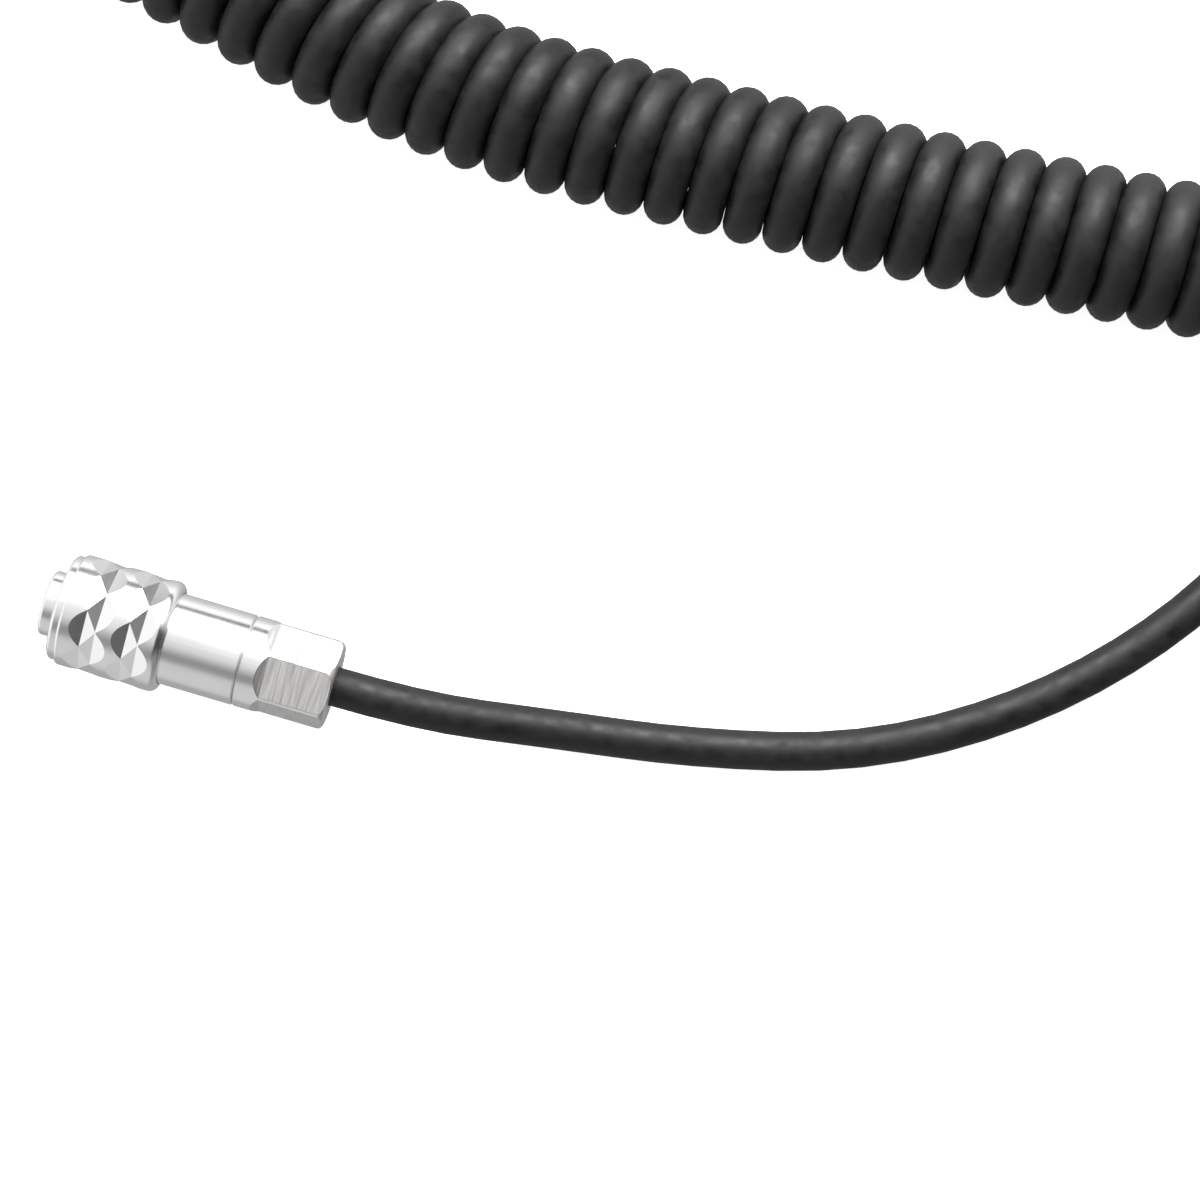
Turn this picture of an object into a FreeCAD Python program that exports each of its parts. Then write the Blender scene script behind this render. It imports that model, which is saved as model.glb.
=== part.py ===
"""Coiled camera lead: a push-pull locking plug, a coiled two-core cord and a two-pin battery plug.

Frame: millimetres, +Z up, floor at z = 0. The locking plug lies along X with its nose towards -X,
and the origin is under the middle of it, on the floor. Stations along the locking plug are counted
towards its cable from a plane just behind the nose's front face; stations along the battery plug from
the rear face of its housing.
"""

import FreeCAD, Part
import math
import os
import Sketcher

Vector = FreeCAD.Vector

DRIVING = {
    # locking plug, radii and stations
    "nose_front": -0.3,
    "plug_rear": 31.0,
    "nose_r": 3.5,
    "nose_edge": 0.4,
    "nose_pilot": 3.0,
    "nose_relief": 0.25,
    "nose_bore": 2.9,
    "flange_front": 6.6,
    "flange_back": 7.4,
    "flange_r": 4.05,
    "hub_r": 3.98,
    "hub_end": 12.5,
    "key_width": 0.9,
    "key_depth": 0.35,
    "sleeve_r": 6.0,
    "sleeve_front": 2.36,
    "sleeve_end": 13.25,
    "sleeve_bore": 5.2,
    "sleeve_step": 9.52,
    "sleeve_guide": 5.0,
    "sleeve_edge": 0.9,
    "sleeve_front_edge": 0.25,
    "ring_front": 1.4,
    "ring_r": 5.65,
    "ring_edge": 0.4,
    "ring_mouth": 4.8,
    "ring_lock": 4.45,
    "ring_end": 3.95,
    "barrel_r": 4.92,
    "barrel_front": 9.53,
    "barrel_end": 21.28,
    "barrel_bore": 4.15,
    "joint_gap": 0.05,
    "joint_bevel": 0.15,
    "flats_front": 23.15,
    "flats_run": 0.9,
    "flats_half": 4.32,
    "flats_turn": 12.4,
    "nut_edge": 0.8,
    "cable_hole": 2.2,
    # diamond cuts of the locking sleeve
    "cut_first": 4.95,
    "cut_stagger": 1.34,
    "cut_pair": 4.53,
    "cut_depth": 0.36,
    "cut_half_width": 1.45,
    "cut_count": 9,
    "cut_turn": -6.5,
    # contacts and cord
    "contact_pitch": 2.6,
    "contact_r": 0.8,
    "cord_r": 2.1,
    "core_r": 0.75,
    "coil_r": 8.0,
    "spring_r": 4.8,
    "spring_wire": 0.275,
    # battery plug
    "power_x": 16.0,
    "power_y": 102.5,
    "housing_length": 24.0,
    "housing_half": 9.75,
    "housing_split": 6.75,
    "housing_crown": 6.75,
    "housing_corner": 2.0,
    "pin_r": 1.5,
    "pin_neck": 1.2,
    "pin_reach": 8.5,
    "pin_pitch": 8.0,
    "boot_length": 12.0,
    "boot_neck": 2.8,
}

# Routes, in millimetres in the row's frame. The lead leaves the nut level, comes down to the floor
# and sweeps round to the coil, and leaves the coil's other end for the battery plug.
CAMERA_LEAD = [
    (15.0, 0.0, 6.0),
    (25.0, 0.0, 6.0),
    (38.0, 1.8, 2.1),
    (54.0, 4.2, 2.1),
    (71.0, 8.6, 2.1),
    (86.0, 17.6, 2.1),
    (97.5, 29.5, 2.1),
    (105.0, 42.5, 2.1),
    (109.0, 56.0, 2.1),
    (108.2, 69.5, 2.1),
]
COIL_AXIS = [
    (110.0, 69.9, 8.0),
    (74.0, 66.6, 8.0),
    (38.0, 63.6, 8.0),
    (8.0, 63.4, 8.0),
    (-22.0, 69.4, 8.0),
    (-48.0, 75.6, 8.0),
]
POWER_LEAD = [
    (-46.0, 75.2, 2.1),
    (-45.2, 86.5, 2.1),
    (-38.8, 98.0, 2.1),
    (-27.5, 104.6, 2.1),
    (-14.5, 104.4, 3.2),
    (-4.2, 102.5, 6.75),
    (4.6, 102.5, 6.75),
]
CORD_CORNER_SHARE = 0.45

doc = FreeCAD.newDocument("coiled_camera_lead")
sheet = doc.addObject("Spreadsheet::Sheet", "sizes")
pieces = []


def fill_sheet():
    for row, (name, value) in enumerate(DRIVING.items(), 1):
        sheet.set(f"A{row}", name)
        sheet.set(f"B{row}", str(value))
        sheet.setAlias(f"B{row}", name)
    doc.recompute()


def bound(text):
    """The expression with each driving name pointing at its cell."""
    words = []
    for word in text.replace("(", " ( ").replace(")", " ) ").split():
        words.append(f"sizes.{word}" if word in DRIVING else word)
    return " ".join(words)


def value(text):
    return float(sheet.evalExpression(bound(text)))


def keep(obj):
    """Lists an object as a sub-part that gets a file of its own."""
    pieces.append(obj)
    return obj


def place(obj, x="0", y="0", z="0"):
    for axis, text in zip("xyz", (x, y, z)):
        obj.setExpression(f"Placement.Base.{axis}", bound(text))


def origin_plane(body, role):
    return next(o for o in body.Origin.OriginFeatures if o.Role == role)


def new_body(label):
    body = doc.addObject("PartDesign::Body", label)
    body.Label = label
    return keep(body)


def new_sketch(body, name, role, turn=0.0):
    """A sketch on an origin plane of its own body, turned about the sketch's own X axis."""
    sketch = body.newObject("Sketcher::SketchObject", name)
    sketch.AttachmentSupport = [(origin_plane(body, role), "")]
    sketch.MapMode = "FlatFace"
    if turn:
        sketch.AttachmentOffset = FreeCAD.Placement(Vector(), FreeCAD.Rotation(Vector(1, 0, 0), turn))
    doc.recompute()
    return sketch


def convex_arc(start, end, radius):
    """The shorter arc from start to end that bulges to the right of the way between them."""
    half = (end - start) * 0.5
    left = Vector(-half.y, half.x, 0).normalize()
    rise = math.sqrt(radius**2 - half.Length**2)
    centre = start + half + left * rise
    crown = centre - left * radius
    return Part.Arc(start, crown, end)


def draw_loop(sketch, points):
    """A closed loop. Each point is (x, y), or (x, y, radius) where an arc leads to the next."""
    spots = [Vector(value(p[0]), value(p[1]), 0) for p in points]
    for i, point in enumerate(points):
        start, end = spots[i], spots[(i + 1) % len(points)]
        if len(point) == 3:
            sketch.addGeometry(convex_arc(start, end, value(point[2])), False)
        else:
            sketch.addGeometry(Part.LineSegment(start, end), False)
    ends = [arc_ends(sketch.Geometry[i], spots[i]) for i in range(len(points))]
    for i in range(len(points)):
        after = (i + 1) % len(points)
        sketch.addConstraint(Sketcher.Constraint("Coincident", i, ends[i][1], after, ends[after][0]))
    for i, point in enumerate(points):
        for kind, text in (("DistanceX", point[0]), ("DistanceY", point[1])):
            row = sketch.addConstraint(Sketcher.Constraint(kind, -1, 1, i, ends[i][0], value(text)))
            sketch.setExpression(f"Constraints[{row}]", bound(text))
        if len(point) == 3:
            row = sketch.addConstraint(Sketcher.Constraint("Radius", i, value(point[2])))
            sketch.setExpression(f"Constraints[{row}]", bound(point[2]))


def arc_ends(geometry, start):
    """Which of a sketch edge's two ends, 1 or 2, comes first in the loop, and which comes last."""
    first = Vector(geometry.StartPoint)
    return (1, 2) if first.distanceToPoint(start) < 1e-6 else (2, 1)


def turned(label, profile):
    """A body turned about the X axis from a closed profile of (station, radius)."""
    body = new_body(label)
    sketch = new_sketch(body, label + "_profile", "XZ_Plane")
    draw_loop(sketch, profile)
    turn = body.newObject("PartDesign::Revolution", label + "_turn")
    turn.Profile = sketch
    turn.ReferenceAxis = (sketch, ["H_Axis"])
    turn.Angle = 360
    doc.recompute()
    return body


def rings_at(shape, spots):
    """Names of the circular edges at the given (station, radius) places."""
    names = []
    for i, edge in enumerate(shape.Edges, 1):
        if not isinstance(edge.Curve, Part.Circle):
            continue
        for station, radius in spots:
            near = abs(edge.Curve.Center.x - value(station)) < 1e-4
            if near and abs(edge.Curve.Radius - value(radius)) < 1e-4:
                names.append(f"Edge{i}")
    return names


def eased(body, kind, size, spots):
    """A fillet or chamfer along the circular edges at the given (station, radius) places."""
    base = body.Tip
    names = rings_at(base.Shape, spots)
    feature = body.newObject(f"PartDesign::{kind}", f"{body.Label}_{kind.lower()}")
    feature.Base = (base, names)
    feature.setExpression("Radius" if kind == "Fillet" else "Size", bound(size))
    doc.recompute()
    return feature


def cut(body, name, sketch, depth=None, both_ways=False, reverse=False):
    """A pocket that has to take material away, through all where no depth is given."""
    before = body.Shape.Volume
    pocket = body.newObject("PartDesign::Pocket", name)
    pocket.Profile = sketch
    pocket.Reversed = reverse
    pocket.Midplane = both_ways
    if depth is None:
        pocket.Type = 1
    else:
        pocket.setExpression("Length", bound(depth))
    doc.recompute()
    if body.Shape.Volume > before - 1e-6:
        raise RuntimeError(f"{name} cuts nothing")
    return pocket


def around(body, name, feature, axis_sketch, count):
    """Repeats a cut about the X axis."""
    pattern = body.newObject("PartDesign::PolarPattern", name)
    pattern.Originals = [feature]
    pattern.Axis = (axis_sketch, ["H_Axis"])
    pattern.Angle = 360
    pattern.setExpression("Occurrences", bound(count))
    body.Tip = pattern
    doc.recompute()
    return pattern


def circles(sketch, radius, centres):
    """Circles of one radius at (x, y) expressions."""
    for i, (x, y) in enumerate(centres):
        sketch.addGeometry(Part.Circle(Vector(value(x), value(y), 0), Vector(0, 0, 1), value(radius)))
        for kind, text in (("DistanceX", x), ("DistanceY", y)):
            row = sketch.addConstraint(Sketcher.Constraint(kind, -1, 1, i, 3, value(text)))
            sketch.setExpression(f"Constraints[{row}]", bound(text))
        row = sketch.addConstraint(Sketcher.Constraint("Radius", i, value(radius)))
        sketch.setExpression(f"Constraints[{row}]", bound(radius))


def on_plug_axis(body, y="0"):
    """Puts a locking plug piece on the plug's axis, with the plug's middle over the origin."""
    place(body, "- ( nose_front + plug_rear ) / 2", y, "sleeve_r")


# ---------------------------------------------------------------- locking plug


def make_nose_shell():
    body = turned(
        "nose_shell",
        [
            ("nose_front", "nose_bore"),
            ("nose_front", "nose_r"),
            ("nose_pilot", "nose_r"),
            ("nose_pilot", "nose_r - nose_relief"),
            ("flange_front", "nose_r - nose_relief"),
            ("flange_front", "flange_r"),
            ("flange_back", "flange_r"),
            ("flange_back", "hub_r"),
            ("hub_end", "hub_r"),
            ("hub_end", "nose_bore"),
        ],
    )
    eased(body, "Fillet", "nose_edge", [("nose_front", "nose_r")])
    slot = new_sketch(body, "key_slot_outline", "XY_Plane")
    draw_loop(
        slot,
        [
            ("-1", "- key_width / 2"),
            ("nose_pilot", "- key_width / 2"),
            ("nose_pilot", "key_width / 2"),
            ("-1", "key_width / 2"),
        ],
    )
    slot.AttachmentOffset = FreeCAD.Placement(Vector(0, 0, -value("nose_r")), FreeCAD.Rotation())
    cut(body, "key_slot", slot, "key_depth", reverse=True)
    on_plug_axis(body)


def make_insulators():
    front = turned(
        "contact_insulator",
        [("0.3", "0"), ("0.3", "nose_bore - 0.02"), ("6.4", "nose_bore - 0.02"), ("6.4", "0")],
    )
    rear = turned(
        "rear_insulator",
        [("6.4", "0"), ("6.4", "nose_bore - 0.02"), ("9.4", "nose_bore - 0.02"), ("9.4", "0")],
    )
    for body in (front, rear):
        holes = new_sketch(body, body.Label + "_holes", "YZ_Plane")
        circles(holes, "contact_r + 0.02", [("contact_pitch / 2", "0"), ("- contact_pitch / 2", "0")])
        cut(body, body.Label + "_bores", holes, both_ways=True)
        on_plug_axis(body)
    seats = new_sketch(rear, "contact_seats_outline", "YZ_Plane")
    circles(seats, "contact_r + 0.27", [("contact_pitch / 2", "0"), ("- contact_pitch / 2", "0")])
    seats.AttachmentOffset = FreeCAD.Placement(Vector(0, 0, 6.4), FreeCAD.Rotation())
    cut(rear, "contact_seats", seats, "0.72", reverse=True)


def make_contact(name, side):
    """A socket contact with a solder cup, its heat-shrink sleeve and the core that it joins."""
    y = f"{side} contact_pitch / 2"
    contact = turned(
        "socket_contact_" + name,
        [
            ("0.7", "0.5"),
            ("0.7", "contact_r"),
            ("6.42", "contact_r"),
            ("6.42", "contact_r + 0.25"),
            ("7.1", "contact_r + 0.25"),
            ("7.1", "contact_r"),
            ("11.8", "contact_r"),
            ("11.8", "0.55"),
            ("9.8", "0.55"),
            ("9.8", "0"),
            ("6", "0"),
            ("6", "0.5"),
        ],
    )
    shrink = turned(
        "heat_shrink_" + name,
        [("10.1", "contact_r + 0.02"), ("10.1", "1"), ("13.2", "1"), ("13.2", "contact_r + 0.02")],
    )
    core = turned(
        "core_wire_" + name,
        [
            ("9.85", "0"),
            ("9.85", "0.5"),
            ("12.1", "0.5"),
            ("12.1", "core_r"),
            ("16", "core_r"),
            ("16", "0"),
        ],
    )
    for body in (contact, shrink, core):
        on_plug_axis(body, y)


def make_insulator_clip():
    body = turned(
        "insulator_clip",
        [("9.42", "2.2"), ("9.42", "nose_bore - 0.02"), ("10", "nose_bore - 0.02"), ("10", "2.2")],
    )
    split_ring(body, "1.2")
    on_plug_axis(body)


def split_ring(body, width):
    """Opens a ring's upper side with a gap of the given width."""
    gap = new_sketch(body, body.Label + "_gap", "YZ_Plane")
    draw_loop(
        gap,
        [
            (f"- {width} / 2", "1"),
            (f"{width} / 2", "1"),
            (f"{width} / 2", "7"),
            (f"- {width} / 2", "7"),
        ],
    )
    cut(body, body.Label + "_opening", gap, both_ways=True)


def make_latch_collet():
    """Six spring fingers whose hooks grip the socket's collar while the sleeve backs them."""
    body = turned(
        "latch_collet",
        [
            ("3.2", "3.95"),
            ("3.2", "4.4"),
            ("8.72", "4.4"),
            ("8.72", "hub_r + 0.02"),
            ("7.42", "hub_r + 0.02"),
            ("7.42", "4.1"),
            ("3.95", "4.1"),
            ("3.7", "3.9"),
            ("3.4", "3.9"),
        ],
    )
    slot = new_sketch(body, "finger_slot_outline", "XY_Plane")
    draw_loop(slot, [("3", "-0.3"), ("6.9", "-0.3"), ("6.9", "0.3"), ("3", "0.3")])
    first = cut(body, "finger_slot", slot, "5", reverse=True)
    around(body, "finger_slots", first, slot, "6")
    on_plug_axis(body)


def make_retaining_ring():
    body = turned(
        "retaining_ring",
        [("8.75", "hub_r + 0.02"), ("8.75", "5.12"), ("9.5", "5.12"), ("9.5", "hub_r + 0.02")],
    )
    split_ring(body, "1.6")
    on_plug_axis(body)


def make_nose_seal():
    ring = keep(doc.addObject("Part::Torus", "nose_seal_ring"))
    ring.Label = "nose_seal_ring"
    ring.setExpression("Radius1", bound("nose_r + 0.24"))
    ring.Radius2 = 0.32
    ring.Placement.Rotation = FreeCAD.Rotation(Vector(0, 1, 0), 90)
    place(ring, "6.25 - ( nose_front + plug_rear ) / 2", "0", "sleeve_r")


def make_barrel():
    body = turned(
        "barrel",
        [
            ("barrel_front", "hub_r + 0.02"),
            ("barrel_front", "barrel_r"),
            ("barrel_end", "barrel_r"),
            ("barrel_end", "barrel_bore"),
            ("12.6", "barrel_bore"),
            ("12.6", "hub_r + 0.02"),
        ],
    )
    eased(body, "Chamfer", "joint_bevel", [("barrel_end", "barrel_r")])
    on_plug_axis(body)


def make_sleeve_front_ring():
    body = turned(
        "sleeve_front_ring",
        [
            ("ring_front", "ring_mouth"),
            ("ring_front", "ring_r"),
            ("sleeve_front", "ring_r"),
            ("sleeve_front", "sleeve_bore - 0.02"),
            ("ring_end", "sleeve_bore - 0.02"),
            ("ring_end", "ring_lock"),
            ("2.65", "ring_lock"),
            ("2.3", "ring_mouth"),
        ],
    )
    eased(body, "Fillet", "ring_edge", [("ring_front", "ring_r")])
    on_plug_axis(body)


def make_locking_sleeve():
    body = turned(
        "locking_sleeve",
        [
            ("sleeve_front", "sleeve_bore"),
            ("sleeve_front", "sleeve_r"),
            ("sleeve_end", "sleeve_r"),
            ("sleeve_end", "sleeve_guide"),
            ("sleeve_step", "sleeve_guide"),
            ("sleeve_step", "sleeve_bore"),
        ],
    )
    eased(body, "Fillet", "sleeve_edge", [("sleeve_end", "sleeve_r")])
    eased(body, "Fillet", "sleeve_front_edge", [("sleeve_front", "sleeve_r")])
    turn = value("cut_turn")
    half_pitch = 180 / value("cut_count")
    row = 0
    for pair in ("0", "cut_pair"):
        for stagger, angle in (("0", turn + half_pitch), ("cut_stagger", turn)):
            row += 1
            diamond_row(body, row, f"cut_first + {pair} + {stagger}", angle)
    on_plug_axis(body)


def diamond_row(body, row, station, turn):
    """One ring of shallow V cuts across the sleeve, each as wide as it is apart from the next."""
    above = 2.0
    spread = f"cut_half_width * ( cut_depth + {above} ) / cut_depth"
    outline = new_sketch(body, f"diamond_outline_{row}", "XZ_Plane", turn)
    draw_loop(
        outline,
        [
            (station, "sleeve_r - cut_depth"),
            (f"{station} + {spread}", f"sleeve_r + {above}"),
            (f"{station} - ( {spread} )", f"sleeve_r + {above}"),
        ],
    )
    first = cut(body, f"diamond_{row}", outline, "sleeve_r * 2", both_ways=True)
    around(body, f"diamond_row_{row}", first, outline, "cut_count")


def make_spring():
    """The coil spring that holds the sleeve forward, seated between front ring and retaining ring."""
    coil = doc.addObject("Part::Helix", "spring_path")
    coil.setExpression("Radius", bound("spring_r"))
    coil.setExpression("Height", bound("8.75 - ring_end - 2 * spring_wire - 0.1"))
    coil.setExpression("Pitch", bound("( 8.75 - ring_end - 2 * spring_wire - 0.1 ) / 5"))
    wire = doc.addObject("Part::Circle", "spring_section")
    wire.setExpression("Radius", bound("spring_wire"))
    wire.setExpression("Placement.Base.x", bound("spring_r"))
    wire.Placement.Rotation = FreeCAD.Rotation(Vector(1, 0, 0), 90)
    doc.recompute()
    spring = keep(doc.addObject("Part::Sweep", "sleeve_spring"))
    spring.Label = "sleeve_spring"
    spring.Sections = [wire]
    spring.Spine = (coil, [f"Edge{i}" for i in range(1, len(coil.Shape.Edges) + 1)])
    spring.Solid = True
    spring.Frenet = True
    spring.Placement.Rotation = FreeCAD.Rotation(Vector(0, 1, 0), 90)
    start = "ring_end + spring_wire + 0.05"
    place(spring, f"{start} - ( nose_front + plug_rear ) / 2", "0", "sleeve_r")


def make_cable_clamp():
    grommet = turned(
        "seal_grommet",
        [("16.05", "cord_r"), ("16.05", "4.1"), ("17.6", "4.1"), ("17.6", "cord_r")],
    )
    washer = turned(
        "thrust_washer",
        [("17.62", "2.3"), ("17.62", "4.1"), ("17.95", "4.1"), ("17.95", "2.3")],
    )
    collet = turned(
        "clamp_collet",
        [
            ("17.97", "cord_r + 0.01"),
            ("17.97", "3.68"),
            ("19", "3.68"),
            ("20.9", "3.1"),
            ("20.9", "cord_r + 0.01"),
        ],
    )
    slot = new_sketch(collet, "collet_slot_outline", "XY_Plane")
    draw_loop(slot, [("18.8", "-0.25"), ("21.5", "-0.25"), ("21.5", "0.25"), ("18.8", "0.25")])
    first = cut(collet, "collet_slot", slot, "5", reverse=True)
    around(collet, "collet_slots", first, slot, "4")
    for body in (grommet, washer, collet):
        on_plug_axis(body)


def make_clamp_nut():
    body = turned(
        "clamp_nut",
        [
            ("18.4", "3.74"),
            ("18.4", "barrel_bore - 0.03"),
            ("barrel_end + joint_gap", "barrel_bore - 0.03"),
            ("barrel_end + joint_gap", "barrel_r"),
            ("plug_rear", "barrel_r"),
            ("plug_rear", "cable_hole"),
            ("21.3", "cable_hole"),
            ("21.3", "3.02"),
            ("19", "3.74"),
        ],
    )
    eased(body, "Chamfer", "joint_bevel", [("barrel_end + joint_gap", "barrel_r")])
    eased(body, "Fillet", "nut_edge", [("plug_rear", "barrel_r")])
    outline = new_sketch(body, "spanner_flat_outline", "XZ_Plane", value("flats_turn"))
    draw_loop(
        outline,
        [
            ("flats_front", "barrel_r"),
            ("flats_front + flats_run", "flats_half"),
            ("plug_rear + 1", "flats_half"),
            ("plug_rear + 1", "barrel_r + 1"),
            ("flats_front", "barrel_r + 1"),
        ],
    )
    first = cut(body, "spanner_flat", outline, "barrel_r * 2", both_ways=True)
    around(body, "spanner_flats", first, outline, "6")
    on_plug_axis(body)


def make_cable_in_plug():
    body = turned(
        "cable_in_plug",
        [("16.02", "0"), ("16.02", "cord_r"), ("30.35", "cord_r"), ("30.35", "0")],
    )
    on_plug_axis(body)


# ---------------------------------------------------------------- cord


def rounded_path(points, share=CORD_CORNER_SHARE):
    """Straight runs joined by tangent arcs, each as large as its two runs allow."""
    spots = [Vector(*p) for p in points]
    edges = []
    radii = []
    here = spots[0]
    for before, corner, after in zip(spots, spots[1:], spots[2:]):
        back = before - corner
        ahead = after - corner
        half_turn = (math.pi - back.getAngle(ahead)) / 2
        reach = share * min(back.Length, ahead.Length)
        back.normalize()
        ahead.normalize()
        start = corner + back * reach
        end = corner + ahead * reach
        radius = reach / math.tan(half_turn)
        middle = (back + ahead).normalize()
        crown = corner + middle * (radius / math.cos(half_turn) - radius)
        edges.append(Part.LineSegment(here, start).toShape())
        edges.append(Part.Arc(start, crown, end).toShape())
        radii.append(radius)
        here = end
    edges.append(Part.LineSegment(here, spots[-1]).toShape())
    return Part.Wire(edges), radii


def make_tube(label, points, radius, y=0.0, x=0.0):
    """A round tube along a route, with its volume compared with section times length."""
    path, radii = rounded_path(points)
    start = Vector(*points[0])
    section = Part.Circle(start, Vector(*points[1]) - start, radius).toShape()
    shape = path.makePipeShell([Part.Wire([section])], True, False)
    expected = math.pi * radius**2 * path.Length
    tube = keep(doc.addObject("Part::Feature", label))
    tube.Label = label
    tube.Shape = shape
    tube.Placement.Base = Vector(x, y, 0)
    share = shape.Volume / expected
    print(f"{label}: length {path.Length:.1f} mm, volume {share:.4f} of section x length")
    print("  radii, mm:", ", ".join(f"{r:.0f}" for r in radii))
    if abs(share - 1) > 0.01:
        raise RuntimeError(f"{label} has the wrong volume")
    return tube


def make_cord():
    make_tube("lead_camera_end", CAMERA_LEAD, value("cord_r"))
    make_tube("curly_cord", COIL_AXIS, value("coil_r"))
    make_tube("lead_power_end", POWER_LEAD, value("cord_r"))


# ---------------------------------------------------------------- battery plug


def on_housing(body, y="0", z="0"):
    """Puts a battery plug piece where the housing lies on the floor."""
    place(body, "power_x", f"power_y + {y}", z)


def make_housing():
    lower = new_body("housing_lower")
    half = "housing_half"
    outline = new_sketch(lower, "housing_lower_outline", "YZ_Plane")
    draw_loop(
        outline,
        [
            (f"housing_corner - {half}", "0"),
            (f"{half} - housing_corner", "0", "housing_corner"),
            (half, "housing_corner"),
            (half, "housing_split"),
            (f"- {half}", "housing_split"),
            (f"- {half}", "housing_corner", "housing_corner"),
        ],
    )
    upper = new_body("housing_upper")
    crown = new_sketch(upper, "housing_upper_outline", "YZ_Plane")
    draw_loop(
        crown,
        [
            (
                half,
                "housing_split",
                f"( {half} * {half} + housing_crown * housing_crown ) / ( 2 * housing_crown )",
            ),
            (f"- {half}", "housing_split"),
        ],
    )
    for body, sketch in ((lower, outline), (upper, crown)):
        pad = body.newObject("PartDesign::Pad", body.Label + "_block")
        pad.Profile = sketch
        pad.setExpression("Length", bound("housing_length"))
        doc.recompute()
        round_ends(body)
        grip_grooves(body)
        hollow(body)
        end_holes(body)
        on_housing(body)
    screw_holes(lower, "1.1", "0", "10")
    screw_holes(upper, "0.85", "0", "9.8")
    screw_seats(lower)


def round_ends(body):
    """Rounds the rim of both end faces, except along the joint between the halves."""
    shape = body.Shape
    split = value("housing_split")
    names = []
    for i, edge in enumerate(shape.Edges, 1):
        box = edge.BoundBox
        at_end = box.XLength < 1e-6
        on_joint = box.ZLength < 1e-6 and abs(box.ZMin - split) < 1e-6
        if at_end and not on_joint:
            names.append(f"Edge{i}")
    base = body.Tip
    fillet = body.newObject("PartDesign::Fillet", body.Label + "_rim")
    fillet.Base = (base, names)
    fillet.Radius = 0.9
    doc.recompute()


def grip_grooves(body):
    """Five finger grooves across each side of the housing."""
    for i in range(5):
        x = 6 + 2.6 * i
        for side in ("", "-"):
            outline = new_sketch(body, f"{body.Label}_grip_{i}{'b' if side else 'a'}", "XY_Plane")
            edge = f"{side} 1 * ( housing_half - 0.45 )"
            far = f"{side} 1 * ( housing_half + 1 )"
            loop = [(f"{x}", edge), (f"{x + 1.1}", edge), (f"{x + 1.1}", far), (f"{x}", far)]
            draw_loop(outline, loop)
            cut(body, outline.Label + "_groove", outline, both_ways=True)


def hollow(body):
    """The chamber for the cable, narrow between the screws and wide at the pins."""
    lower = body.Label == "housing_lower"
    depth = "5.2" if lower else "3.4"
    wide = "7" if lower else "6.2"
    outline = new_sketch(body, body.Label + "_chamber_outline", "XY_Plane")
    draw_loop(
        outline,
        [
            ("1.6", "-4.4"),
            ("9", "-4.4"),
            ("9", f"- {wide}"),
            ("housing_length - 3", f"- {wide}"),
            ("housing_length - 3", wide),
            ("9", wide),
            ("9", "4.4"),
            ("1.6", "4.4"),
        ],
    )
    outline.AttachmentOffset = FreeCAD.Placement(Vector(0, 0, value("housing_split")), FreeCAD.Rotation())
    cut(body, body.Label + "_chamber", outline, depth, reverse=not lower)


def end_holes(body):
    """Half holes on the joint: two for the pins in front and one for the boot's neck behind."""
    pins = new_sketch(body, body.Label + "_pin_outline", "YZ_Plane")
    at = [("pin_pitch / 2", "housing_split"), ("- pin_pitch / 2", "housing_split")]
    circles(pins, "pin_neck + 0.02", at)
    pins.AttachmentOffset = FreeCAD.Placement(Vector(0, 0, value("housing_length")), FreeCAD.Rotation())
    cut(body, body.Label + "_pin_holes", pins, "4")
    neck = new_sketch(body, body.Label + "_neck_outline", "YZ_Plane")
    circles(neck, "boot_neck + 0.02", [("0", "housing_split")])
    cut(body, body.Label + "_neck_hole", neck, "2", reverse=True)


def screw_holes(body, radius, low, high):
    """Holes along Z for the two screws."""
    holes = new_sketch(body, body.Label + "_screw_outline", "XY_Plane")
    circles(holes, radius, [("5", "6.8"), ("5", "-6.8")])
    holes.AttachmentOffset = FreeCAD.Placement(Vector(0, 0, float(low)), FreeCAD.Rotation())
    cut(body, body.Label + "_screw_holes", holes, high, reverse=True)


def screw_seats(body):
    seats = new_sketch(body, "screw_seat_outline", "XY_Plane")
    circles(seats, "1.95", [("5", "6.8"), ("5", "-6.8")])
    cut(body, "screw_seats", seats, "1.45", reverse=True)


def make_screws():
    """Two pan-head screws, driven up through the flat side."""
    solids = []
    for side in (1, -1):
        y = 6.8 * side
        head = doc.addObject("Part::Cylinder", "screw_head")
        head.Radius = 1.85
        head.Height = 1.2
        head.Placement.Base = Vector(5, y, 0.2)
        shank = doc.addObject("Part::Cylinder", "screw_shank")
        shank.Radius = 0.84
        shank.Height = 8.0
        shank.Placement.Base = Vector(5, y, 1.4)
        across = doc.addObject("Part::Box", "screw_cross_slot")
        across.Length, across.Width, across.Height = 2.2, 0.45, 0.6
        across.Placement.Base = Vector(5 - 1.1, y - 0.225, 0.1)
        along = doc.addObject("Part::Box", "screw_cross_slot")
        along.Length, along.Width, along.Height = 0.45, 2.2, 0.6
        along.Placement.Base = Vector(5 - 0.225, y - 1.1, 0.1)
        screw = doc.addObject("Part::MultiFuse", "screw_blank")
        screw.Shapes = [head, shank]
        cross = doc.addObject("Part::MultiFuse", "screw_cross")
        cross.Shapes = [across, along]
        done = doc.addObject("Part::Cut", "screw")
        done.Base, done.Tool = screw, cross
        solids.append(done)
    both = keep(doc.addObject("Part::Compound", "housing_screws"))
    both.Label = "housing_screws"
    both.Links = solids
    on_housing(both)


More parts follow.
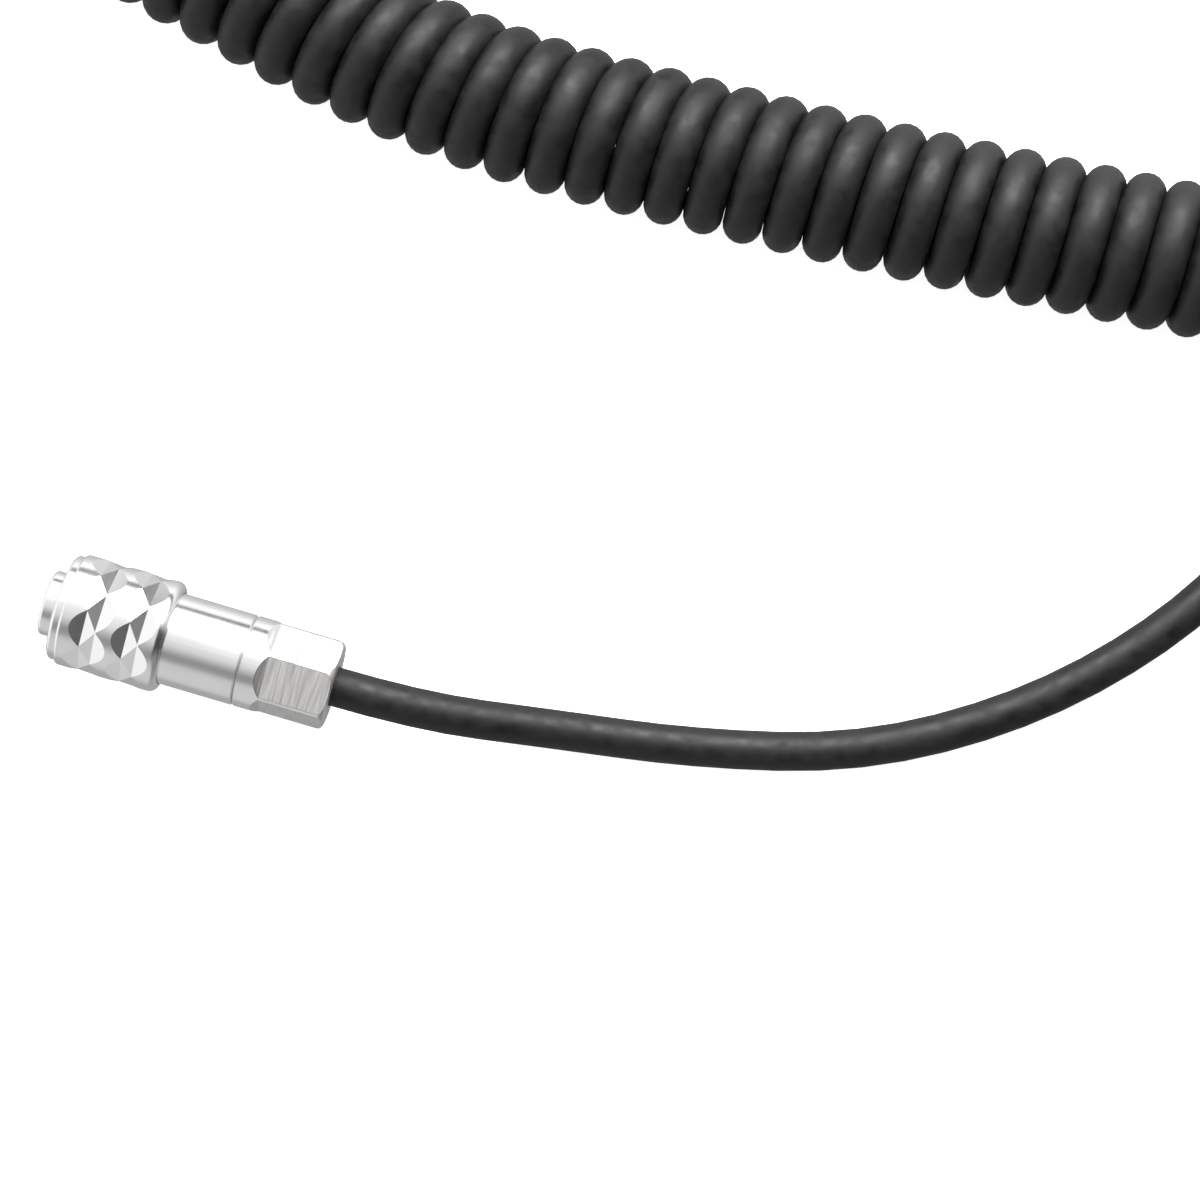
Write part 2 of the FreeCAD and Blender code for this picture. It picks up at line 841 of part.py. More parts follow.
def make_pin(name, side):
    body = turned(
        "power_pin_" + name,
        [
            ("15.5", "0"),
            ("15.5", "0.9"),
            ("19.4", "0.9"),
            ("19.4", "2.2"),
            ("20.95", "2.2"),
            ("20.95", "pin_neck"),
            ("housing_length + 0.1", "pin_neck"),
            ("housing_length + 0.1", "pin_r"),
            ("housing_length + pin_reach", "pin_r"),
            ("housing_length + pin_reach", "0"),
        ],
    )
    eased(body, "Fillet", "0.9", [("housing_length + pin_reach", "pin_r")])
    on_housing(body, f"{side} 1 * pin_pitch / 2", "housing_split")


def make_pin_carrier():
    body = new_body("pin_carrier")
    outline = new_sketch(body, "pin_carrier_outline", "YZ_Plane")
    draw_loop(outline, [("-6.1", "-2.9"), ("6.1", "-2.9"), ("6.1", "2.9"), ("-6.1", "2.9")])
    outline.AttachmentOffset = FreeCAD.Placement(Vector(0, 0, 17.4), FreeCAD.Rotation())
    pad = body.newObject("PartDesign::Pad", "pin_carrier_block")
    pad.Profile = outline
    pad.Length = 3.55
    doc.recompute()
    at = [("pin_pitch / 2", "0"), ("- pin_pitch / 2", "0")]
    bores = new_sketch(body, "pin_carrier_bore_outline", "YZ_Plane")
    circles(bores, "0.92", at)
    cut(body, "pin_carrier_bores", bores, both_ways=True)
    seats = new_sketch(body, "pin_carrier_seat_outline", "YZ_Plane")
    circles(seats, "2.22", at)
    seats.AttachmentOffset = FreeCAD.Placement(Vector(0, 0, 20.95), FreeCAD.Rotation())
    cut(body, "pin_carrier_seats", seats, "1.57")
    on_housing(body, "0", "housing_split")


def make_boot():
    """The rubber strain relief, held by its neck in the housing's rear wall, with two flex grooves."""
    body = turned(
        "power_boot",
        [
            ("3.2", "cord_r"),
            ("3.2", "3.35"),
            ("1.62", "3.35"),
            ("1.62", "boot_neck"),
            ("-0.05", "boot_neck"),
            ("-0.05", "4.3"),
            ("-3", "4.1"),
            ("-3", "3.3"),
            ("-4", "3.3"),
            ("-4", "3.9"),
            ("-6.5", "3.6"),
            ("-6.5", "3"),
            ("-7.5", "3"),
            ("-7.5", "3.45"),
            ("- boot_length", "2.9"),
            ("- boot_length", "cord_r"),
        ],
    )
    on_housing(body, "0", "housing_split")


def make_power_wires():
    cable = turned(
        "cable_in_power_plug",
        [("0.6 - boot_length", "0"), ("0.6 - boot_length", "cord_r"), ("7", "cord_r"), ("7", "0")],
    )
    ferrule = turned(
        "cable_ferrule",
        [("4.2", "cord_r"), ("4.2", "2.7"), ("6.2", "2.7"), ("6.2", "cord_r")],
    )
    for body in (cable, ferrule):
        on_housing(body, "0", "housing_split")
    height = value("housing_split")
    for name, side in (("positive", 1), ("negative", -1)):
        near = 0.95 * side
        far = value("pin_pitch") / 2 * side
        route = [(7.02, near, height), (9.2, near, height), (12.8, far, height), (15.45, far, height)]
        make_tube("power_wire_" + name, route, value("core_r"), value("power_y"), value("power_x"))


# ---------------------------------------------------------------- build and write


def check_document():
    for obj in doc.Objects:
        if "Invalid" in obj.State or "Error" in obj.State:
            raise RuntimeError(f"{obj.Label} failed: {obj.State}")
    for obj in pieces:
        if obj.Shape.isNull() or not obj.Shape.isValid() or not obj.Shape.Solids:
            raise RuntimeError(f"{obj.Label} has no valid solid")


def write_steps():
    os.makedirs("parts", exist_ok=True)
    for obj in pieces:
        obj.Shape.exportStep(f"parts/{obj.Label}.step")
        print(f"{obj.Label}: {len(obj.Shape.Solids)} solid(s), {obj.Shape.Volume:.1f} mm3")


def main():
    fill_sheet()
    make_nose_shell()
    make_insulators()
    for name, side in (("positive", ""), ("negative", "-")):
        make_contact(name, side)
    make_insulator_clip()
    make_latch_collet()
    make_retaining_ring()
    make_nose_seal()
    make_barrel()
    make_sleeve_front_ring()
    make_locking_sleeve()
    make_spring()
    make_cable_clamp()
    make_clamp_nut()
    make_cable_in_plug()
    make_cord()
    make_housing()
    make_screws()
    for name, side in (("positive", ""), ("negative", "-")):
        make_pin(name, side)
    make_pin_carrier()
    make_boot()
    make_power_wires()
    doc.recompute()
    check_document()
    write_steps()


main()
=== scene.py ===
"""Looks for the coiled camera lead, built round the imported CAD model, in the part's frame.

Lengths are in metres, apart from the camera's and the cord's, which are in millimetres.
"""

import math

import bpy
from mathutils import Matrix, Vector


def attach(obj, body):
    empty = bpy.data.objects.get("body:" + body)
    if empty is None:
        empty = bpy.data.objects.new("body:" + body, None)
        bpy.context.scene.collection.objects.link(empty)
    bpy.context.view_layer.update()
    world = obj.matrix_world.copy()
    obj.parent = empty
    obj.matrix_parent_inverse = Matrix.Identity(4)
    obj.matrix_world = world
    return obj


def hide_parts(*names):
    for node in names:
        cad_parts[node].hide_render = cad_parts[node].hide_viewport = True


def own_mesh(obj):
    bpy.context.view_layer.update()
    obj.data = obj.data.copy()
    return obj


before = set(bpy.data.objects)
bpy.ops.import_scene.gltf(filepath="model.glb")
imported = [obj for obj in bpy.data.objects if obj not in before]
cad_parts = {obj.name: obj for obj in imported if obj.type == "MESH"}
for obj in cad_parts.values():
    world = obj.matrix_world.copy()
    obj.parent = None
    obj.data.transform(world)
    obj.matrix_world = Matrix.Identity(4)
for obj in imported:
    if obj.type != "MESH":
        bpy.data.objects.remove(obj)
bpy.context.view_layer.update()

MM = 0.001

# ---------------------------------------------------------------- camera

PLUG_SLANT = math.radians(16.47)  # the plug's axis runs down to the right by this much in the picture
VIEW_CENTRE = (39.79, 16.58)  # the floor point under the camera, mm
VIEW_HEIGHT = 309.9  # the camera's height over the floor, mm
LENS = 87.0  # mm
SENSOR_WIDTH = 36.0  # mm


def make_camera():
    """A camera that looks straight down, turned so that the plug lies aslant."""
    data = bpy.data.cameras.new("camera")
    data.lens = LENS
    data.sensor_width = SENSOR_WIDTH
    data.clip_start = 0.01
    camera = bpy.data.objects.new("camera", data)
    camera.location = (VIEW_CENTRE[0] * MM, VIEW_CENTRE[1] * MM, VIEW_HEIGHT * MM)
    camera.rotation_euler = (0.0, 0.0, PLUG_SLANT)
    bpy.context.scene.collection.objects.link(camera)
    bpy.context.scene.camera = camera


# ---------------------------------------------------------------- node materials

TEXTURE_RANGE = (0.3, 0.7)  # between which most of a noise texture's values lie
JACKET_DARK = (0.0042, 0.0042, 0.0046)
JACKET_LIGHT = (0.0088, 0.0086, 0.0090)
JACKET_ROUGH = (0.41, 0.67)
JACKET_MARKS = 620.0  # handling marks to a metre
JACKET_GRAIN = 9000.0  # grains to a metre
JACKET_SPECULAR = 0.36
METAL_TONE = (0.90, 0.90, 0.905)
METAL_SHADE = 0.95  # the darker patches' share of the tone
METAL_ROUGH = 0.215
ROUGH_SPREAD = (-0.03, 0.04)  # how far the turned metal's roughness strays
RING_SHARE = 0.6  # of the sheen's variation; the patches do the rest
PATCHES = 240.0  # patches of sheen to a metre
LATHE_RINGS = (26000.0, 90.0, 90.0)  # rings to a metre along the plug, and streaks across it
FLAT_TONE = (0.77, 0.76, 0.745)
FLAT_SHADE = 0.86
FLAT_ROUGH_SPREAD = (0.16, 0.34)
FLAT_BRUSH = (5200.0, 260.0, 260.0)  # brush lines to a metre along the plug, and across it
PLUG_AXIS_HEIGHT = 0.006
NUT_ROUND_FROM = 0.00489  # the nut is round where its surface is at least this far from its axis
FLAT_EDGE = 0.00004  # over which a flat's finish gives way to the round's
PLAIN_GRAIN = 900.0  # grains to a metre
PLAIN_ROUGH_SPREAD = (-0.05, 0.06)


def new_material(name):
    """A material with its nodes, its links and its main shader."""
    material = bpy.data.materials.new(name)
    material.use_nodes = True
    nodes = material.node_tree.nodes
    return material, nodes, material.node_tree.links, nodes["Principled BSDF"]


def noise(nodes, links, scale, detail=4.0, stretch=None):
    """A noise texture on object coordinates, in metres, stretched along the axes where asked."""
    coords = nodes.new("ShaderNodeTexCoord")
    texture = nodes.new("ShaderNodeTexNoise")
    texture.inputs["Scale"].default_value = scale
    texture.inputs["Detail"].default_value = detail
    source = coords.outputs["Object"]
    if stretch:
        mapping = nodes.new("ShaderNodeMapping")
        mapping.inputs["Scale"].default_value = stretch
        links.new(source, mapping.inputs["Vector"])
        source = mapping.outputs["Vector"]
    links.new(source, texture.inputs["Vector"])
    return texture.outputs["Fac"]


def ranged(nodes, links, source, low, high, start=TEXTURE_RANGE[0], end=TEXTURE_RANGE[1]):
    """Maps a socket's values from start to end onto low to high."""
    node = nodes.new("ShaderNodeMapRange")
    node.inputs["From Min"].default_value = start
    node.inputs["From Max"].default_value = end
    node.inputs["To Min"].default_value = low
    node.inputs["To Max"].default_value = high
    links.new(source, node.inputs["Value"])
    return node.outputs["Result"]


def tinted(nodes, links, source, dark, light):
    """A colour between two, by a texture."""
    ramp = nodes.new("ShaderNodeValToRGB")
    for element, spot, tone in zip(ramp.color_ramp.elements, TEXTURE_RANGE, (dark, light)):
        element.position = spot
        element.color = (*tone, 1.0)
    links.new(source, ramp.inputs["Fac"])
    return ramp.outputs["Color"]


def maths(nodes, links, operation, *sources):
    """A math node on sockets or numbers."""
    node = nodes.new("ShaderNodeMath")
    node.operation = operation
    for socket, source in zip(node.inputs, sources):
        if isinstance(source, (int, float)):
            socket.default_value = source
        else:
            links.new(source, socket)
    return node.outputs["Value"]


def mixed(nodes, links, factor, a, b, data_type="FLOAT"):
    """Socket a where the factor is 0, socket b where it is 1."""
    node = nodes.new("ShaderNodeMix")
    node.data_type = data_type
    inputs = {socket.identifier: socket for socket in node.inputs}
    kind = "Color" if data_type == "RGBA" else "Float"
    links.new(factor, inputs["Factor_Float"])
    links.new(a, inputs["A_" + kind])
    links.new(b, inputs["B_" + kind])
    return next(socket for socket in node.outputs if socket.identifier == "Result_" + kind)


def shaded(tone, share):
    """A darker tone of a colour."""
    return tuple(share * channel for channel in tone)


def bumped(nodes, links, shader, height, distance, strength):
    """Relief on a shader, from a texture, at most a distance deep."""
    bump = nodes.new("ShaderNodeBump")
    bump.inputs["Distance"].default_value = distance
    bump.inputs["Strength"].default_value = strength
    links.new(height, bump.inputs["Height"])
    links.new(bump.outputs["Normal"], shader.inputs["Normal"])


def jacket_material():
    """Matte black cable jacket: a fine grained skin with faint handling marks."""
    material, nodes, links, shader = new_material("cord_jacket_look")
    grain = noise(nodes, links, JACKET_GRAIN, detail=3.0)
    marks = noise(nodes, links, JACKET_MARKS, detail=5.0)
    links.new(tinted(nodes, links, marks, JACKET_DARK, JACKET_LIGHT), shader.inputs["Base Color"])
    links.new(ranged(nodes, links, marks, *JACKET_ROUGH), shader.inputs["Roughness"])
    shader.inputs["Specular IOR Level"].default_value = JACKET_SPECULAR
    bumped(nodes, links, shader, grain, distance=0.00002, strength=0.3)
    return material


def turned_rings(nodes, links):
    """Very fine rings round the X axis, as a lathe leaves them."""
    return noise(nodes, links, 1.0, detail=2.0, stretch=LATHE_RINGS)


def strayed(rough, spread):
    """The least and the greatest roughness."""
    return tuple(rough + stray for stray in spread)


def satin_metal():
    """Satin turned metal: very fine rings round the X axis and a soft patchy sheen."""
    material, nodes, links, shader = new_material("satin_metal_look")
    rings = turned_rings(nodes, links)
    patches = noise(nodes, links, PATCHES, detail=5.0)
    tone = tinted(nodes, links, patches, shaded(METAL_TONE, METAL_SHADE), METAL_TONE)
    links.new(tone, shader.inputs["Base Color"])
    from_rings = maths(nodes, links, "MULTIPLY", rings, RING_SHARE)
    sheen = maths(nodes, links, "MULTIPLY_ADD", patches, 1.0 - RING_SHARE, from_rings)
    rough = ranged(nodes, links, sheen, *strayed(METAL_ROUGH, ROUGH_SPREAD))
    links.new(rough, shader.inputs["Roughness"])
    shader.inputs["Metallic"].default_value = 1.0
    bumped(nodes, links, shader, rings, distance=0.0000012, strength=0.4)
    return material


def on_flats(nodes, links):
    """1 on the nut's spanner flats, 0 where it is round: the flats lie nearer the axis."""
    coords = nodes.new("ShaderNodeTexCoord")
    split = nodes.new("ShaderNodeSeparateXYZ")
    links.new(coords.outputs["Object"], split.inputs["Vector"])
    height = maths(nodes, links, "SUBTRACT", split.outputs["Z"], PLUG_AXIS_HEIGHT)
    height_squared = maths(nodes, links, "MULTIPLY", height, height)
    squared = maths(nodes, links, "MULTIPLY_ADD", split.outputs["Y"], split.outputs["Y"], height_squared)
    reach = maths(nodes, links, "SQRT", squared)
    return ranged(nodes, links, reach, 1.0, 0.0, NUT_ROUND_FROM - FLAT_EDGE, NUT_ROUND_FROM)


def nut_metal():
    """The same metal, with cross-brushed spanner flats."""
    material, nodes, links, shader = new_material("nut_look")
    flat = on_flats(nodes, links)
    rings = turned_rings(nodes, links)
    brush = noise(nodes, links, 1.0, detail=4.0, stretch=FLAT_BRUSH)
    patches = noise(nodes, links, PATCHES, detail=5.0)
    round_tone = tinted(nodes, links, patches, shaded(METAL_TONE, METAL_SHADE), METAL_TONE)
    flat_tone = tinted(nodes, links, brush, shaded(FLAT_TONE, FLAT_SHADE), FLAT_TONE)
    links.new(mixed(nodes, links, flat, round_tone, flat_tone, "RGBA"), shader.inputs["Base Color"])
    round_rough = ranged(nodes, links, rings, *strayed(METAL_ROUGH, ROUGH_SPREAD))
    flat_rough = ranged(nodes, links, brush, *strayed(METAL_ROUGH, FLAT_ROUGH_SPREAD))
    links.new(mixed(nodes, links, flat, round_rough, flat_rough), shader.inputs["Roughness"])
    shader.inputs["Metallic"].default_value = 1.0
    faint_rings = maths(nodes, links, "MULTIPLY", rings, 0.2)
    relief = mixed(nodes, links, flat, faint_rings, brush)
    bumped(nodes, links, shader, relief, distance=0.000008, strength=0.5)
    return material


def plain_look(name, dark, light, rough, metallic=0.0, scale=PLAIN_GRAIN):
    """A material with a fine grain, as many grains to a metre as scale says."""
    material, nodes, links, shader = new_material(name)
    grain = noise(nodes, links, scale, detail=4.0)
    links.new(tinted(nodes, links, grain, dark, light), shader.inputs["Base Color"])
    rough_range = strayed(rough, PLAIN_ROUGH_SPREAD)
    links.new(ranged(nodes, links, grain, *rough_range), shader.inputs["Roughness"])
    shader.inputs["Metallic"].default_value = metallic
    bumped(nodes, links, shader, grain, distance=0.00002, strength=0.4)
    return material


def paint(material, *names):
    """Shows CAD pieces in a material."""
    for name in names:
        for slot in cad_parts[name].material_slots:
            slot.link = "OBJECT"
            slot.material = material


# ---------------------------------------------------------------- cord

CORD_D = 4.2
COIL_R = 5.9  # mean radius of a turn
PITCH = 4.248
TURNS = 36
POINTS_A_TURN = 16
AXIS_STEPS = 24  # to which each stretch of the coil's axis is followed
COIL_START = 0.50  # how far along the coil's axis its first turn begins
CROWDED = (-0.88, 27.2, 3.9)  # by how much turns are shifted along the axis, which most, and how many
LOOSE = (0.3, 14.0, 4.2)
WAVER = (0.01, 1.9)  # how far every turn wavers besides, and how fast from turn to turn
FAR_HALF = (9.0, 23.0)  # turns between which the coil's lean changes
COIL_LEAN = (0.85, 0.7)  # how far the turns' tops lean along the axis, near the plug and further on
COIL_SWAY = (0.15, -0.2)  # how far the turns' far sides lag behind their near sides, likewise
INTO_COIL = (0.35, -3.2, 0.1)  # from the first turn's start to the lead's last point
OUT_OF_COIL = (-0.2, 3.4, 0.1)  # from the last turn's end to the far lead's first point
CAMERA_LEAD = [
    (15.0, 0.0, 6.0),
    (25.0, 0.0, 6.0),
    (38.0, 1.9, 2.1),
    (54.0, 4.3, 2.1),
    (71.0, 8.8, 2.1),
    (86.0, 17.8, 2.1),
    (97.9, 29.6, 2.1),
    (105.5, 42.2, 2.1),
    (109.0, 56.0, 2.1),
]
COIL_AXIS = [
    (110.0, 70.2, 8.0),
    (74.0, 66.3, 8.0),
    (38.0, 63.9, 8.0),
    (8.0, 63.0, 8.0),
    (-22.0, 69.5, 8.0),
    (-48.0, 75.6, 8.0),
]
POWER_LEAD = [
    (-45.2, 86.5, 2.1),
    (-38.8, 98.0, 2.1),
    (-27.5, 104.6, 2.1),
    (-14.5, 104.4, 3.2),
    (-4.2, 102.5, 6.75),
    (4.6, 102.5, 6.75),
]


def route_curve(name, points, resolution):
    """An open NURBS line with the given control points."""
    data = bpy.data.curves.new(name, "CURVE")
    data.dimensions = "3D"
    data.resolution_u = resolution
    spline = data.splines.new("NURBS")
    spline.points.add(len(points) - 1)
    for spot, point in zip(spline.points, points):
        spot.co = (point[0] * MM, point[1] * MM, point[2] * MM, 1.0)
    spline.order_u = 3
    spline.use_endpoint_u = True
    curve = bpy.data.objects.new(name, data)
    bpy.context.scene.collection.objects.link(curve)
    return curve


def line_of(curve):
    """The points that a curve with no bevel follows."""
    bpy.context.view_layer.update()
    evaluated = curve.evaluated_get(bpy.context.evaluated_depsgraph_get())
    mesh = bpy.data.meshes.new_from_object(evaluated)
    points = [v.co / MM for v in mesh.vertices]
    bpy.data.meshes.remove(mesh)
    return points


def along(points, distance):
    """The point and the direction at a distance along a line of points."""
    for a, b in zip(points, points[1:]):
        step = (b - a).length
        if distance <= step:
            return a.lerp(b, distance / step), (b - a).normalized()
        distance -= step
    return points[-1], (points[-1] - points[-2]).normalized()


def bell(turn, most, middle, spread):
    """A shift that is greatest at one turn and dies away on both sides of it."""
    return most * math.exp(-(((turn - middle) / spread) ** 2))


def unevenness(turn):
    """How far a turn strays along the axis, because no real coil is perfectly even."""
    most, pace = WAVER
    return bell(turn, *CROWDED) + bell(turn, *LOOSE) + most * math.sin(pace * turn)


def between(near_and_far, turn):
    """A value that goes from one to another over the coil's far half."""
    start, end = FAR_HALF
    share = min(1.0, max(0.0, (turn - start) / (end - start)))
    return near_and_far[0] * (1.0 - share) + near_and_far[1] * share


def coil_points():
    """Control points of the left-handed turns, first and last at the bottom of the coil."""
    axis_curve = route_curve("coil_axis", COIL_AXIS, resolution=AXIS_STEPS)
    axis = line_of(axis_curve)
    bpy.data.objects.remove(axis_curve)
    up = Vector((0.0, 0.0, 1.0))
    reach = COIL_R / math.cos(math.pi / POINTS_A_TURN)
    turns = []
    for i in range(TURNS * POINTS_A_TURN + 1):
        turn = i / POINTS_A_TURN
        angle = 2 * math.pi * turn
        ease = min(1.0, turn, TURNS - turn)
        sway = between(COIL_SWAY, turn) * math.sin(angle)
        lean = between(COIL_LEAN, turn) * math.cos(angle)
        lag = ease * (sway - lean)
        middle, forward = along(axis, COIL_START + turn * PITCH + lag + unevenness(turn))
        side = forward.cross(up)
        turns.append(middle + reach * (math.sin(angle) * side - math.cos(angle) * up))
    turns[0].z = turns[-1].z = CORD_D / 2
    return turns


def make_cord():
    """The whole cable as one cord: the lead from the locking plug, the coil, and the far plug's lead."""
    turns = coil_points()
    lead_in = turns[0] + Vector(INTO_COIL)
    lead_out = turns[-1] + Vector(OUT_OF_COIL)
    points = CAMERA_LEAD + [tuple(p) for p in [lead_in, *turns, lead_out]] + POWER_LEAD
    cord = route_curve("curly_lead", points, resolution=4)
    cord.data.bevel_depth = CORD_D / 2 * MM
    cord.data.bevel_resolution = 8
    cord.data.use_fill_caps = True
    cord.data.materials.append(jacket_material())
    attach(cord, "plug_body")
    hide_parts("lead_camera_end", "curly_cord", "lead_power_end")


# ---------------------------------------------------------------- spring


def make_spring():
    """The sleeve's return spring: its own copy of the CAD spring's mesh, carried by the plug body."""
    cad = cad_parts["sleeve_spring"]
    spring = bpy.data.objects.new("return_spring", cad.data.copy())
    bpy.context.scene.collection.objects.link(spring)
    spring.matrix_world = cad.matrix_world
    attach(spring, "plug_body")
    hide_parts("sleeve_spring")
    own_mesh(spring)


# ---------------------------------------------------------------- stage and light

TABLE_HALF = 3.0
TABLE_DROP = 0.00005  # keeps the table just clear of what lies on it
TABLE_DARK = (0.885, 0.885, 0.885)
TABLE_LIGHT = (0.9, 0.9, 0.9)
TABLE_GRAIN = 300.0  # grains to a metre
TABLE_GLOW = 0.75
LIGHTS_AIM = (0.03, 0.03, 0.0)


def make_floor():
    """A plain white table lit from below, which isn't mirrored in the metal, as in a light tent."""
    mesh = bpy.data.meshes.new("floor")
    corners = [(TABLE_HALF * x, TABLE_HALF * y, 0.0) for x, y in ((-1, -1), (1, -1), (1, 1), (-1, 1))]
    mesh.from_pydata(corners, [], [(0, 1, 2, 3)])
    floor = bpy.data.objects.new("floor", mesh)
    floor.location.z = -TABLE_DROP
    floor.visible_glossy = False
    bpy.context.scene.collection.objects.link(floor)
    material, nodes, links, shader = new_material("floor_paper")
    grain = noise(nodes, links, TABLE_GRAIN, detail=3.0)
    links.new(tinted(nodes, links, grain, TABLE_DARK, TABLE_LIGHT), shader.inputs["Base Color"])
    shader.inputs["Roughness"].default_value = 0.9
    shader.inputs["Specular IOR Level"].default_value = 0.1
    shader.inputs["Emission Color"].default_value = (1.0, 1.0, 1.0, 1.0)
    shader.inputs["Emission Strength"].default_value = TABLE_GLOW
    mesh.materials.append(material)


def soft_box(name, place, width, height, power, mirrored=True):
    """An area light on the lead. One that isn't mirrored leaves the metal's reflections alone."""
    data = bpy.data.lights.new(name, "AREA")
    data.shape = "RECTANGLE"
    data.size = width
    data.size_y = height
    data.energy = power
    light = bpy.data.objects.new(name, data)
    light.location = place
    aim = Vector(LIGHTS_AIM) - Vector(place)
    light.rotation_euler = aim.to_track_quat("-Z", "Y").to_euler()
    light.visible_glossy = mirrored
    bpy.context.scene.collection.objects.link(light)


def brightness_ramp(nodes, links, source, stops):
    """A grey ramp along a direction's component, from -1 to 1."""
    ramp = nodes.new("ShaderNodeValToRGB")
    elements = ramp.color_ramp.elements
    while len(elements) < len(stops):
        elements.new(0.5)
    for element, (spot, grey) in zip(elements, stops):
        element.position = (spot + 1) / 2
        element.color = (grey, grey, grey, 1.0)
    links.new(maths(nodes, links, "MULTIPLY_ADD", source, 0.5, 0.5), ramp.inputs["Fac"])
    return ramp.outputs["Color"]


# Brightness of the light tent along Y, from -1 to 1: its walls, and the table far below them.
TENT_WALLS = [
    (-1.0, 0.66),
    (-0.88, 0.62),
    (-0.76, 0.28),
    (-0.60, 0.24),
    (-0.42, 0.5),
    (-0.2, 0.8),
    (0.1, 0.86),
    (0.35, 0.98),
    (0.8, 1.1),
    (1.0, 1.35),
]
TENT_GROUND = [(-1.0, 0.42), (0.0, 0.40), (1.0, 0.75)]
TENT_HORIZON = (-0.7, -0.3)  # height of a direction from which the ground turns into the walls
GLOW = 1.05  # brightness of the wall that the plug's nose points at
GLOW_FROM = (-0.46, -0.28)  # direction along X from which the tent's walls take over
DOORWAY = 0.05  # brightness of the tent's open side, towards +X
DOORWAY_FROM = (0.12, 0.28)  # direction along X from which the walls give way to it
DOORWAY_SLANT = 0.35  # how much narrower the open side gets, along Y, for each step along X
DOORWAY_NEAR = (0.65, 0.85)  # where it ends towards -Y
DOORWAY_FAR = (0.42, 0.64)  # where it ends towards +Y
BACKDROP = 1.0  # what the camera itself sees behind the table


def plain_grey(nodes, brightness):
    """A socket with one even grey."""
    node = nodes.new("ShaderNodeRGB")
    node.outputs["Color"].default_value = (brightness, brightness, brightness, 1.0)
    return node.outputs["Color"]


def make_world():
    """A light tent: bright towards +Y and -X, a narrow dark gap towards -Y, and open towards +X."""
    world = bpy.data.worlds.new("studio")
    world.use_nodes = True
    nodes, links = world.node_tree.nodes, world.node_tree.links
    coords = nodes.new("ShaderNodeTexCoord")
    split = nodes.new("ShaderNodeSeparateXYZ")
    links.new(coords.outputs["Generated"], split.inputs["Vector"])
    x, y, z = (split.outputs[axis] for axis in "XYZ")
    walls = brightness_ramp(nodes, links, y, TENT_WALLS)
    ground = brightness_ramp(nodes, links, y, TENT_GROUND)
    glow = ranged(nodes, links, x, 1.0, 0.0, *GLOW_FROM)
    walls = mixed(nodes, links, glow, walls, plain_grey(nodes, GLOW), "RGBA")
    across = ranged(nodes, links, x, 0.0, 1.0, *DOORWAY_FROM)
    slant = maths(nodes, links, "MULTIPLY", x, DOORWAY_SLANT)
    near = ranged(nodes, links, maths(nodes, links, "SUBTRACT", slant, y), 1.0, 0.0, *DOORWAY_NEAR)
    far = ranged(nodes, links, maths(nodes, links, "ADD", slant, y), 1.0, 0.0, *DOORWAY_FAR)
    doorway = maths(nodes, links, "MULTIPLY", across, maths(nodes, links, "MULTIPLY", near, far))
    walls = mixed(nodes, links, doorway, walls, plain_grey(nodes, DOORWAY), "RGBA")
    level = ranged(nodes, links, z, 0.0, 1.0, *TENT_HORIZON)
    tent = mixed(nodes, links, level, ground, walls, "RGBA")
    seen = nodes.new("ShaderNodeLightPath").outputs["Is Camera Ray"]
    backdrop = mixed(nodes, links, seen, tent, plain_grey(nodes, BACKDROP), "RGBA")
    links.new(backdrop, nodes["Background"].inputs["Color"])
    bpy.context.scene.world = world


def make_lights():
    """The tent, a soft key beyond the coil, and a weak light over the whole table."""
    make_world()
    soft_box("key", place=(0.0, 0.50, 0.43), width=0.8, height=0.42, power=11.0)
    soft_box("table_light", place=(0.03, 0.1, 1.2), width=1.6, height=1.6, power=2.0, mirrored=False)


# ---------------------------------------------------------------- whole scene

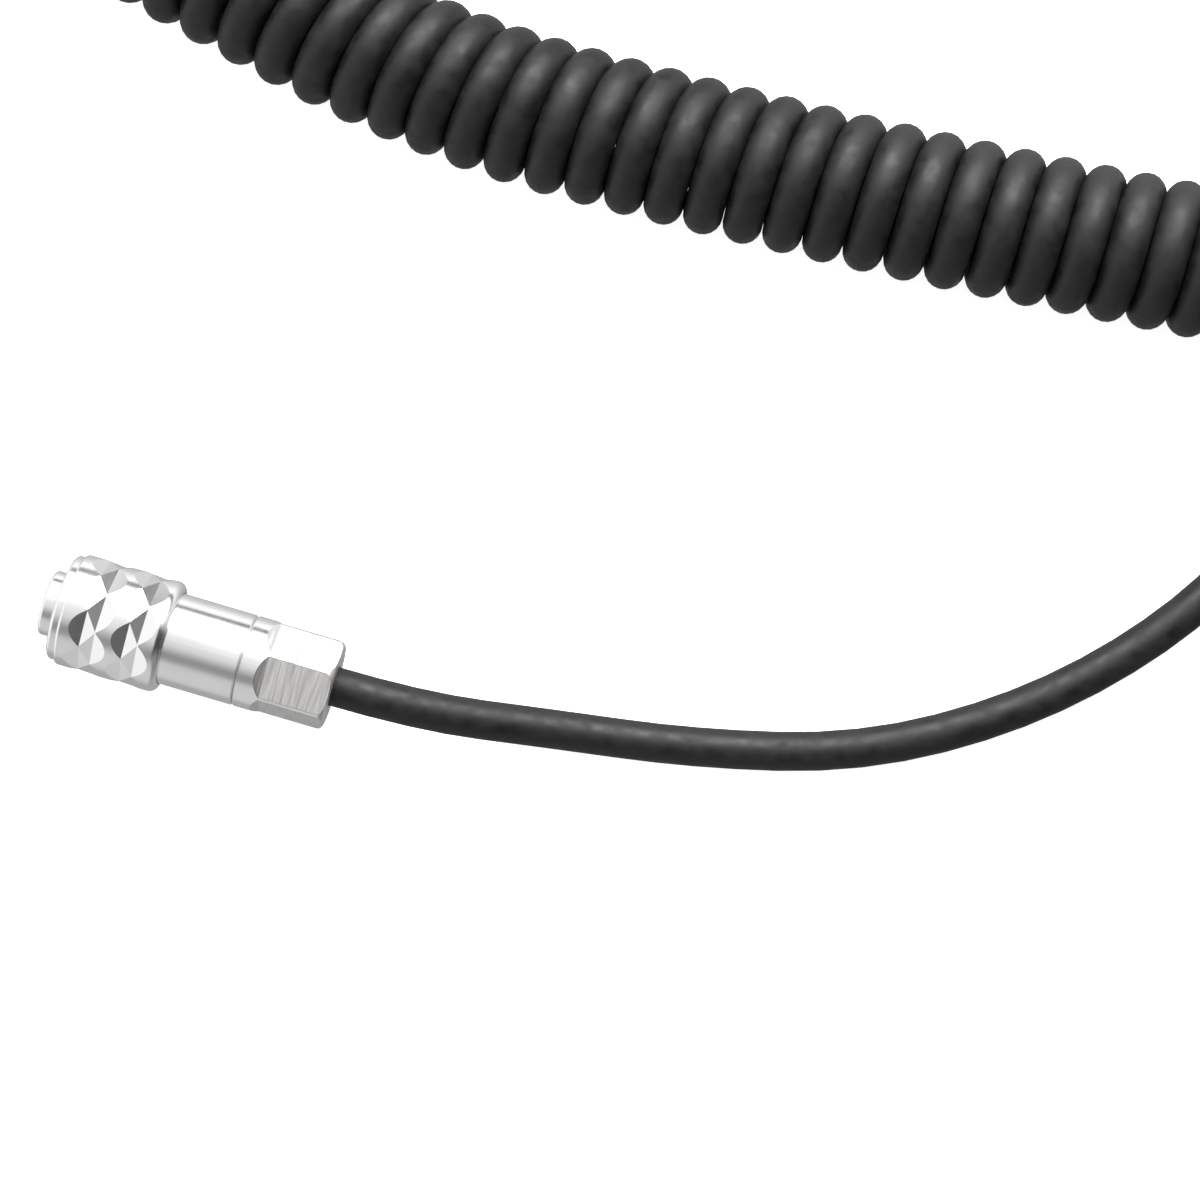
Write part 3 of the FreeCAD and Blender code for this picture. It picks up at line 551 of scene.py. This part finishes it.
# Name, dark and light colour, roughness and how metallic, then the pieces that wear it.
PLAIN_LOOKS = [
    (
        ("black_plastic_look", (0.018, 0.018, 0.019), (0.03, 0.03, 0.031), 0.5),
        (
            "contact_insulator",
            "rear_insulator",
            "pin_carrier",
            "heat_shrink_positive",
            "heat_shrink_negative",
        ),
    ),
    (
        ("gold_contact_look", (0.78, 0.55, 0.2), (0.9, 0.68, 0.3), 0.2, 1.0),
        ("socket_contact_positive", "socket_contact_negative", "power_pin_positive", "power_pin_negative"),
    ),
    (
        ("steel_look", (0.5, 0.5, 0.5), (0.62, 0.62, 0.61), 0.3, 1.0),
        (
            "insulator_clip",
            "latch_collet",
            "retaining_ring",
            "sleeve_spring",
            "thrust_washer",
            "cable_ferrule",
            "housing_screws",
        ),
    ),
    (
        ("rubber_look", (0.016, 0.016, 0.016), (0.028, 0.028, 0.028), 0.6),
        ("nose_seal_ring", "seal_grommet", "power_boot", "cable_in_plug", "cable_in_power_plug"),
    ),
    (("nylon_look", (0.6, 0.58, 0.52), (0.72, 0.7, 0.64), 0.5), ("clamp_collet",)),
    (
        ("red_core_look", (0.4, 0.015, 0.015), (0.5, 0.03, 0.03), 0.35),
        ("core_wire_positive", "power_wire_positive"),
    ),
    (
        ("black_core_look", (0.015, 0.015, 0.015), (0.025, 0.025, 0.025), 0.35),
        ("core_wire_negative", "power_wire_negative"),
    ),
]
HOUSING_DARK = (0.012, 0.012, 0.0126)
HOUSING_LIGHT = (0.020, 0.020, 0.0206)
HOUSING_GRAIN = 5000.0  # grains to a metre


def paint_cad():
    """Gives every CAD piece its material."""
    paint(satin_metal(), "nose_shell", "barrel", "locking_sleeve", "sleeve_front_ring")
    paint(nut_metal(), "clamp_nut")
    for look, pieces in PLAIN_LOOKS:
        paint(plain_look(*look), *pieces)
    shell = plain_look("housing_look", HOUSING_DARK, HOUSING_LIGHT, 0.52, scale=HOUSING_GRAIN)
    paint(shell, "housing_lower", "housing_upper")


make_camera()
make_cord()
paint_cad()
make_spring()
make_floor()
make_lights()
bpy.context.scene.view_settings.view_transform = "Standard"
